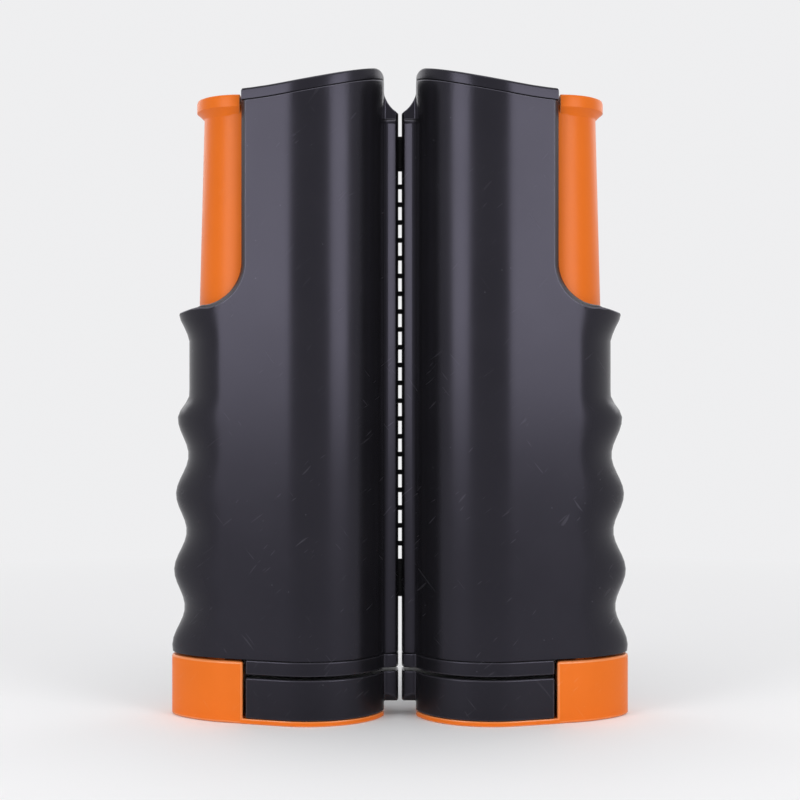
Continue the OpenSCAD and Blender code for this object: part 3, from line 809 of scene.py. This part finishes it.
bar.update({
    "tip": opening["tip"] - 0.55,
    "half": opening["half"] - 0.55,
    "base": post["edge"] - 0.3,
    "side": post["edge"] - 0.8,
    "top": post["seam"] - 0.5,
    "draft": 1.6,             # how much it narrows upwards, at the tip
    "sideDraft": 1.0,         # and at each side
    "wall": 2.0,
    "narrow": 49.8,           # inner edge of its hidden lower half
    "blockTop": post["foot"] - 0.6,
    "lipInner": post["edge"] + 0.6,
    "lipTop": post["seam"] + 2.2,
    "lipFace": 3.5,
    "lipUnder": 3.4,
    "lipReach": 2.2,
    "lipSide": 0.3,
    "lipRounding": 0.2,
    "rounding": 0.25,
    "rodHole": 1.6,
})


def barCurve(tip, half, base, start=None):
    first = math.degrees(math.asin((start - base) / (tip - base))) if start else 0
    angles = [math.radians(first + (90 - first) * i / 24) for i in range(25)]
    return [(base + (tip - base) * math.sin(a), half * math.cos(a)) for a in angles]


def ringOf(line, z):
    return [(u, -y, z) for u, y in line] + [(u, y, z) for u, y in reversed(line) if y > 0.001]


def narrowed(piece, tip, half):   # draft towards the top
    for point in piece.data.vertices:
        share = (point.co.z / mm - bar["low"]) / (bar["top"] - bar["low"])
        if share > 0:
            reach = point.co.x / mm - bar["base"]
            if reach > 0:
                kept = 1 - share * bar["draft"] / (tip - bar["base"])
                point.co.x = (bar["base"] + reach * kept) * mm
            point.co.y *= 1 - share * bar["sideDraft"] / half


def makeBar():
    outerLine = [(bar["side"], bar["half"])] + barCurve(bar["tip"], bar["half"], bar["base"])
    piece = raiseOutline("bar", ringOf(outerLine, bar["low"]), [(0, 0, bar["top"] - bar["low"])])
    narrowed(piece, bar["tip"], bar["half"])
    tip, half = bar["tip"] - bar["wall"], bar["half"] - bar["wall"]
    innerLine = [(bar["side"] - 1, half)] + barCurve(tip, half, bar["base"])
    low, high = bar["low"] + bar["shelf"], bar["top"] - bar["wall"]
    hollow = raiseOutline("hollow", ringOf(innerLine, low), [(0, 0, high - low)])
    narrowed(hollow, tip, half)
    combine(piece, hollow)
    outer = barCurve(bar["tip"] - 0.1, bar["half"] - 0.1, bar["base"], bar["narrow"])
    inner = barCurve(bar["tip"] - bar["wall"], bar["half"] - bar["wall"], bar["base"], bar["narrow"])
    bottom = bar["blockTop"] - 1
    ring = ringOf(outer, bottom) + [(u, -y, z) for u, y, z in ringOf(inner, bottom)]
    combine(piece, raiseOutline("spine", ring, [(0, 0, bar["low"] + 1 - bottom)]), "UNION")
    faceOutwards(piece, 0.01)
    roundEdges(piece, bar["rounding"], 2, 50)
    combine(piece, makeThumbLip(), "UNION")
    combine(piece, makeFoot(), "UNION")
    start, end = (springCentre, 0, bar["low"] - 1), (springCentre, 0, bar["low"] + 4)
    combine(piece, addRod("rodHole", bar["rodHole"], start, end))
    faceOutwards(piece, 0.01)
    return piece


def makeThumbLip():
    topTip = bar["tip"] - bar["draft"]
    topHalf = bar["half"] - bar["sideDraft"]
    fullTip, fullHalf = topTip + bar["lipReach"], bar["half"] + bar["lipSide"]
    edgeHeight = bar["lipTop"] - bar["lipFace"]
    startTip, startHalf = topTip - 0.5, topHalf - 0.4    # sunk in the bar
    rings = []
    for i in range(7):            # the hollow under the lip
        out = (i / 6) ** 1.7
        rings.append((edgeHeight - bar["lipUnder"] * (1 - i / 6), startTip + (fullTip - startTip) * out,
                      startHalf + (fullHalf - startHalf) * out))
    for down, back in ((0.9, 0), (0.25, 0.25), (0, 0.9)):    # its upper edge
        rings.append((bar["lipTop"] - down, fullTip - back, fullHalf - back))
    z, tip, half = rings[0]
    piece = raiseOutline("thumbLip", ringOf(barCurve(tip, half, bar["lipInner"]), z), [
        (0, 0, there[0] - here[0]) for here, there in zip(rings, rings[1:])])
    for point in piece.data.vertices:
        here = min(rings, key=lambda ring: abs(ring[0] - point.co.z / mm))
        share = (point.co.x / mm - bar["lipInner"]) / (tip - bar["lipInner"])
        point.co.x = (bar["lipInner"] + (here[1] - bar["lipInner"]) * share) * mm
        point.co.y *= here[2] / half
    roundEdges(piece, bar["lipRounding"], 2, 60)
    return piece


foot = {
    "rounding": 0.7,
    "plateRounding": 0.35,
    "screwHole": 2.4,
    "sink": 1.7,
    "screwReach": 10,         # from the reel's axis to a jaw screw
}
jawScrewPlaces = (post["reel"] - foot["screwReach"], post["reel"] + foot["screwReach"])


def makeFoot():
    line = [(post["block"], halfAt(post["block"]))]
    line += [(u, halfAt(u)) for u in stations(post["neck"], post["tip"]) if u > post["block"] + 0.3]
    block = raiseOutline("block", ringOf(line, 0), [(0, 0, bar["blockTop"])])
    roundEdges(block, foot["rounding"], 3, 60)
    plate = raiseOutline("plate", planRing(post["neck"], post["block"] + 1), [(0, 0, jaws["plate"])])
    roundEdges(plate, foot["plateRounding"], 2, 60)
    combine(block, plate, "UNION")
    holes = [addRod("hole", foot["screwHole"], (u, 0, -1), (u, 0, foot["sink"])) for u in jawScrewPlaces]
    combine(block, joinAll(holes, "holes"))
    return block


dressBoth(makeBar(), "push_bar", "slider", "orange_plastic", orangePlastic)
print("push bar modelled")


# screws, each with a cross recess in a rounded head

def makeScrew(name, length):      # head upwards at the origin, shank downwards
    height = screws["headHeight"]
    head = addRod(name, screws["head"], (0, 0, 0), (0, 0, height), 32)
    pickFaces(head, lambda place, normal: normal.z > 0.9)
    bpy.ops.mesh.region_to_loop()
    bpy.ops.mesh.bevel(offset=screws["headRound"] * mm, segments=3, affect="EDGES")
    leaveEdit()
    shank = addRod("shank", screws["radius"], (0, 0, -length), (0, 0, 0.2), 24)
    combine(head, shank, "UNION")
    for x, y in ((1.3, 0.3), (0.3, 1.3)):
        combine(head, addBox("recess", (-x, -y, height - screws["recess"]), (x, y, 3)))
    faceOutwards(head, 0.005)
    return head


def placeScrews(name, places, length, turn):
    screw = makeScrew(name, length)
    copies = []
    for place in places:
        makeActive(screw)
        bpy.ops.object.duplicate()
        copy = bpy.context.object
        copy.location = Vector(place) * mm
        copy.rotation_euler = turn
        copies.append(settled(name))
    bpy.data.objects.remove(screw)
    return joinAll(copies, name)


shellScrews = placeScrews("shellScrews", [(u, seatAt(u), z) for u, z in screwPlaces], screws["shellLength"],
                          (math.radians(-90), 0, 0.3))
dressBoth(shellScrews, "shell_screws", "post", "steel", zincSteel)
jawScrews = placeScrews("jawScrews", [(u, 0, screws["jawSeat"]) for u in jawScrewPlaces], screws["jawLength"],
                        (math.radians(180), 0, 0.5))
dressBoth(jawScrews, "jaw_screws", "slider", "steel", zincSteel)
print("screws modelled")


# springs and net roll

coil = {"wire": 0.45, "turns": 13}
recoilStrip = {"inner": 5.6, "margin": 0.4, "turns": 7, "thick": 0.35}
netLayers = {"inner": 6.85, "margin": 0.35, "turns": 14, "thick": 0.45}


def makeReturnSpring():
    wire, turns = coil["wire"], coil["turns"]
    radius = (springHigh.x - springLow.x) / 2 - wire
    low, high = springLow.z + wire, springHigh.z - wire
    bpy.ops.object.select_all(action="DESELECT")
    bpy.ops.mesh.primitive_circle_add(vertices=10, radius=wire * mm, location=(radius * mm, 0, 0),
                                      rotation=(math.radians(90), 0, 0))
    piece = settled("returnSpring")
    applyModifier(piece, "SCREW", angle=2 * math.pi, screw_offset=(high - low) / turns * mm, iterations=turns,
                  steps=20, render_steps=20)
    piece.location = (springCentre * mm, 0, low * mm)
    makeActive(piece)
    bpy.ops.object.transform_apply(location=True)
    editAll(piece, "EDGE")
    bpy.ops.mesh.remove_doubles(threshold=0.01 * mm)
    bpy.ops.mesh.select_all(action="DESELECT")
    bpy.ops.mesh.select_non_manifold()
    bpy.ops.mesh.edge_face_add()
    leaveEdit()
    faceOutwards(piece, 0.001)
    return piece


dressBoth(makeReturnSpring(), "return_spring", None, "spring_steel", springSteel)
for side, sign in (("right", 1), ("left", -1)):
    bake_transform(bpy.data.objects[side + "ReturnSpring"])


def windStrip(name, strip, low, high, steps=36):    # winds it on the reel, in the box from low to high
    inner, outer = strip["inner"], (high.x - low.x) / 2 - strip["margin"]
    places = []
    for i in range(strip["turns"] * steps + 1):
        angle = 2 * math.pi * i / steps
        radius = inner + (outer - inner) * i / (strip["turns"] * steps)
        places.append((-post["reel"] + radius * math.cos(angle), radius * math.sin(angle), low.z))
    piece = traceLine(name, places)
    bpy.ops.mesh.select_all(action="SELECT")
    bpy.ops.mesh.extrude_region_move(TRANSFORM_OT_translate={"value": (0, 0, (high.z - low.z) * mm)})
    leaveEdit()
    applyModifier(piece, "SOLIDIFY", thickness=strip["thick"] * mm, offset=0, use_even_offset=True)
    faceOutwards(piece, 0.001)
    return piece


recoilSpring = windStrip("recoilSpring", recoilStrip, recoilLow, recoilHigh)
dress(recoilSpring, "left_post", "spring_steel", springSteel, "recoil_spring")
netRoll = windStrip("netRoll", netLayers, rollLow, rollHigh)
dress(netRoll, "net_reel", "net_fabric", netFabric, "net_roll")
print("springs and net roll wound")


# net between the posts, built pulled out and then drawn together inside the left lips

net = {
    "pull": 1700,
    "squeezeStart": -6.4,     # the put-away length is drawn together between these
    "squeezeEnd": -1.2,
    "pitch": 5.2,
    "strand": 1.4,
    "thick": 0.5,
    "hem": 1.0,
    "topHem": 9,
    "lowHem": 10.2,
    "knot": 1.05,
    "rod": 15,
    "toRoll": 20,
    "leave": math.radians(29),    # between the lips and the roll
}


def repeated(piece, count, step):
    applyModifier(piece, "ARRAY", count=count, use_relative_offset=False, use_constant_offset=True,
                  constant_offset_displace=Vector(step) * mm)
    return piece


def makeNet():
    low, high = rollLow.z, rollHigh.z
    meshLow, meshHigh = low + net["lowHem"], high - net["topHem"]
    rows = math.floor((meshHigh - meshLow) / net["pitch"])
    columns = math.floor((net["pull"] + net["toRoll"]) / net["pitch"]) + 1
    start = net["squeezeEnd"] - net["pull"] - net["toRoll"]
    firstUp = -net["pitch"] / 2 - (columns - 1) * net["pitch"]
    half, flat = net["strand"] / 2, net["thick"] / 2
    pieces = []
    for step in range(3):     # upright strands from the slit to the rod
        at = net["pitch"] * (step + 0.5)
        pieces.append(addBox("upright", (at - half, -flat, meshLow - 0.5), (at + half, flat, meshHigh + 0.5)))
    corners = (firstUp - half, -flat, meshLow - 0.5), (firstUp + half, flat, meshHigh + 0.5)
    pieces.append(repeated(addBox("uprights", *corners), columns, (net["pitch"], 0, 0)))
    ends = (start, net["squeezeEnd"] - net["pull"], net["squeezeEnd"], net["rod"])
    for left, right in zip(ends, ends[1:]):
        strand = addBox("level", (left, -flat * 0.8, meshLow - half), (right, flat * 0.8, meshLow + half))
        pieces.append(repeated(strand, rows + 1, (0, 0, net["pitch"])))
        for bottom, top in ((low, meshLow), (meshHigh, high)):
            pieces.append(addBox("hem", (left, -net["hem"] / 2, bottom), (right, net["hem"] / 2, top)))
    bpy.ops.object.select_all(action="DESELECT")
    bpy.ops.mesh.primitive_uv_sphere_add(segments=4, ring_count=2, radius=net["knot"] * mm,
                                         location=Vector((firstUp, 0, meshLow + net["pitch"])) * mm,
                                         scale=(1, 0.5, 1))
    knots = repeated(settled("knots"), columns + 3, (net["pitch"], 0, 0))
    pieces.append(repeated(knots, rows - 1, (0, 0, net["pitch"])))
    piece = joinAll(pieces, "netSpan")
    for point in piece.data.vertices:
        x = point.co.x / mm
        if x < net["squeezeEnd"]:
            away = (net["squeezeEnd"] - x) / net["pull"]
            if away <= 1:
                share = 0.5 - math.sin(math.asin(2 * away - 1) / 3)
                point.co.x = (net["squeezeStart"] + (net["squeezeEnd"] - net["squeezeStart"]) * share) * mm
            else:
                past = (away - 1) * net["pull"]
                point.co.x = (net["squeezeStart"] - past * math.cos(net["leave"])) * mm
                point.co.y += past * math.sin(net["leave"]) * mm
    return piece


netSpan = makeNet()
dress(netSpan, None, "net_fabric", netFabric, "net_span")
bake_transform(netSpan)
print("net knotted:", len(netSpan.data.polygons), "faces")


# carried-over nodes keep their shape and get a finish

carried = {
    "reel_axle": zincSteel,
    "net_rod": zincSteel,
    "left_guide_rod": zincSteel,
    "right_guide_rod": zincSteel,
    "reel_tube": reelPlastic,
    "reel_bush_top": bushNylon,
    "reel_bush_bottom": bushNylon,
    "spring_drum": jawPlastic,
    "left_spring_bracket": jawPlastic,
    "right_spring_bracket": jawPlastic,
}
for node, material in carried.items():
    piece = bpy.data.objects[node]
    piece.data.materials.clear()
    piece.data.materials.append(material)


# floor, light and camera

studio = {
    "pale": (0.86, 0.86, 0.87),
    "fill": 0.42,             # how strongly the pale surroundings light the posts
    "floor": (0.88, 0.88, 0.89),
    "floorRadius": 6.0,
    "fadeStart": 0.12,
    "fadeEnd": 0.5,
    "cameraHeight": 0.0912,
    "cameraAway": 0.48,
    "lens": 74,
    "lampAzimuth": 44,
    "lampAway": 0.65,
    "lampAim": (0, 0, 0.16),
    "frontLampCentre": 0.24,
    "frontLampSize": 0.32,
    "frontLampPower": 1.75,
    "backLampCentre": 0.42,
    "backLampSize": 0.42,
    "backLampPower": 0.6,
    "topLampPlace": (0, -0.1, 1.1),
    "topLampAim": (0, 0, 0.1),
    "topLampSize": 0.9,
    "topLampPower": 4.8,
}


def glowStrength(tree):           # full where it is seen or mirrored, and less as light
    ray = put(tree, "LightPath").outputs
    seen = calc(tree, "MAXIMUM", calc(tree, "MAXIMUM", ray["Is Camera Ray"], ray["Is Glossy Ray"]),
                ray["Is Transmission Ray"])
    return rangeOf(tree, seen, 0.0, 1.0, studio["fill"], 1.0)


def makeWorld():
    world = bpy.data.worlds.new("studio")
    bpy.context.scene.world = world
    world.use_nodes = True
    background = world.node_tree.nodes["Background"]
    background.inputs["Color"].default_value = (*studio["pale"], 1)
    world.node_tree.links.new(glowStrength(world.node_tree), background.inputs["Strength"])


def makeFloor():
    bpy.ops.object.select_all(action="DESELECT")
    bpy.ops.mesh.primitive_circle_add(vertices=96, radius=studio["floorRadius"], fill_type="NGON")
    floor = settled("floor")
    material, tree, shader, where = newMaterial("paleFloor", Roughness=0.7)
    shader.inputs["Base Color"].default_value = (*studio["floor"], 1)
    away = put(tree, "VectorMath", {"Vector": where}, operation="LENGTH").outputs["Value"]
    fade = rangeOf(tree, away, studio["fadeStart"], studio["fadeEnd"])
    glow = put(tree, "Emission", {"Color": (*studio["pale"], 1), "Strength": glowStrength(tree)})
    mix = put(tree, "MixShader", {"Fac": fade})
    tree.links.new(shader.outputs[0], mix.inputs[1])
    tree.links.new(glow.outputs[0], mix.inputs[2])
    tree.links.new(mix.outputs[0], tree.nodes["Material Output"].inputs["Surface"])
    floor.data.materials.append(material)


def addLamp(name, place, target, size, power):
    place, target = Vector(place), Vector(target)
    turn = (target - place).to_track_quat("-Z", "Y").to_euler()
    bpy.ops.object.light_add(type="AREA", location=place, rotation=turn)
    lamp = bpy.context.object
    lamp.name = name
    lamp.data.shape = "SQUARE"
    lamp.data.size = size
    lamp.data.energy = power
    lamp.visible_camera = False


makeWorld()
makeFloor()
azimuth = math.radians(studio["lampAzimuth"])
aside, along = studio["lampAway"] * math.sin(azimuth), studio["lampAway"] * math.cos(azimuth)
for end, ahead in (("front", -1), ("back", 1)):
    for side, sign in (("Left", -1), ("Right", 1)):
        place = (sign * aside, ahead * along, studio[end + "LampCentre"])
        addLamp(end + "Softbox" + side, place, studio["lampAim"],
                studio[end + "LampSize"], studio[end + "LampPower"])
addLamp("topSoftbox", studio["topLampPlace"], studio["topLampAim"],
        studio["topLampSize"], studio["topLampPower"])

camera = bpy.data.objects.new("camera", bpy.data.cameras.new("camera"))
bpy.context.collection.objects.link(camera)
camera.location = (0, -studio["cameraAway"], studio["cameraHeight"])
camera.rotation_euler = (math.radians(90), 0, 0)
camera.data.lens = studio["lens"]
camera.data.clip_start = 0.01
bpy.context.scene.camera = camera
bpy.context.scene.view_settings.view_transform = "Standard"
print("studio set")
